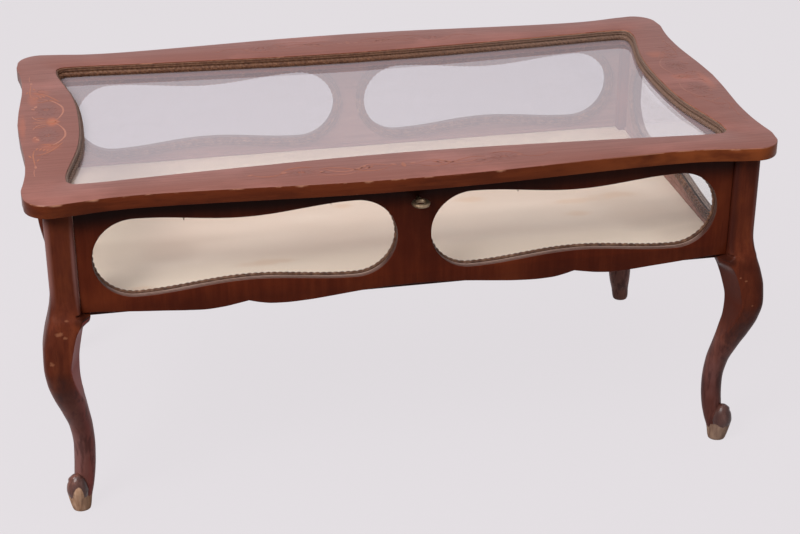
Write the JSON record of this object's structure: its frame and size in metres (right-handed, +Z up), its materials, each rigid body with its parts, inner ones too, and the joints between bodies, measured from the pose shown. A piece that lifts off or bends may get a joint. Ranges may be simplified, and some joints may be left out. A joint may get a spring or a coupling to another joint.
{
  "type": "collectors display table",
  "caption": "Low glazed display table: waisted glass openings in a shallow mahogany case, hinged inlaid lid with a glazed top, lock with a key, cabriole legs.",
  "frame": {"origin": "on the floor, midway between the four feet, under the middle of the lid", "axes": "+X along the length to the right as seen from the front, +Y towards the hinges at the back, +Z up"},
  "size_m": [1, 0.57, 0.478],
  "materials": {
    "mahogany": "satin varnish, deep red-brown",
    "faded_mahogany": "satin varnish faded by light, with marquetry",
    "rope_bead": "stained moulding, satin",
    "glass": "clear sheet glass",
    "silk": "cream silk, slightly wavy, lightly stained",
    "pine": "bare",
    "brass": "dulled",
    "steel": "dulled"
  },
  "bodies": {
    "case": {"front_panel_left": "mahogany", "front_panel_right": "mahogany", "back_panel_left": "mahogany", "back_panel_right": "mahogany", "left_end_panel": "mahogany", "right_end_panel": "mahogany", "front_pane_left": "glass", "front_pane_right": "glass", "back_pane_left": "glass", "back_pane_right": "glass", "left_end_pane": "glass", "right_end_pane": "glass", "front_glazing_bead_left": "rope_bead", "front_glazing_bead_right": "rope_bead", "back_glazing_bead_left": "rope_bead", "back_glazing_bead_right": "rope_bead", "left_end_glazing_bead": "rope_bead", "right_end_glazing_bead": "rope_bead", "leg_front_left": "mahogany", "leg_front_right": "mahogany", "leg_back_left": "mahogany", "leg_back_right": "mahogany", "base_board": "pine", "base_lining": "silk", "hinge_leaf_case_left": "brass", "hinge_leaf_case_right": "brass", "hinge_pin_left": "brass", "hinge_pin_right": "brass", "hinge_screw_case_left_1": "brass", "hinge_screw_case_left_2": "brass", "hinge_screw_case_right_1": "brass", "hinge_screw_case_right_2": "brass", "lock_case": "steel", "lock_plate": "brass", "lock_screw_left": "brass", "lock_screw_right": "brass"},
    "lid": {"lid_rail_front": "faded_mahogany", "lid_rail_back": "faded_mahogany", "lid_rail_left": "faded_mahogany", "lid_rail_right": "faded_mahogany", "lid_glass": "glass", "lid_bead_front": "rope_bead", "lid_bead_back": "rope_bead", "lid_bead_left": "rope_bead", "lid_bead_right": "rope_bead", "lid_glass_slip_front": "mahogany", "lid_glass_slip_back": "mahogany", "lid_glass_slip_left": "mahogany", "lid_glass_slip_right": "mahogany", "hinge_leaf_lid_left": "brass", "hinge_leaf_lid_right": "brass", "hinge_screw_lid_left_1": "brass", "hinge_screw_lid_left_2": "brass", "hinge_screw_lid_right_1": "brass", "hinge_screw_lid_right_2": "brass", "lock_link_plate": "brass", "lock_link_screw_1": "brass", "lock_link_screw_2": "brass"},
    "key": {"key": "steel"},
    "bolt": {"lock_bolt": "steel"}
  },
  "joints": [
    {"name": "lid_hinge", "type": "hinge", "parent": "case", "child": "lid", "pos_m": [0, 0.261, 0.4552], "axis": [-1, 0, 0], "range_deg": [0, 90]},
    {"name": "key_turn", "type": "hinge", "parent": "case", "child": "key", "pos_m": [0.004, -0.254, 0.4355], "axis": [0, 1, 0], "range_deg": [0, 90]},
    {"name": "bolt_slide", "type": "slide", "parent": "case", "child": "bolt", "axis": [-1, 0, 0], "range_m": [0, 0.005]}
  ],
  "couplings": [
    {"joint": "bolt_slide", "follows": "key_turn", "m_per_rad": 0.00318}
  ]
}
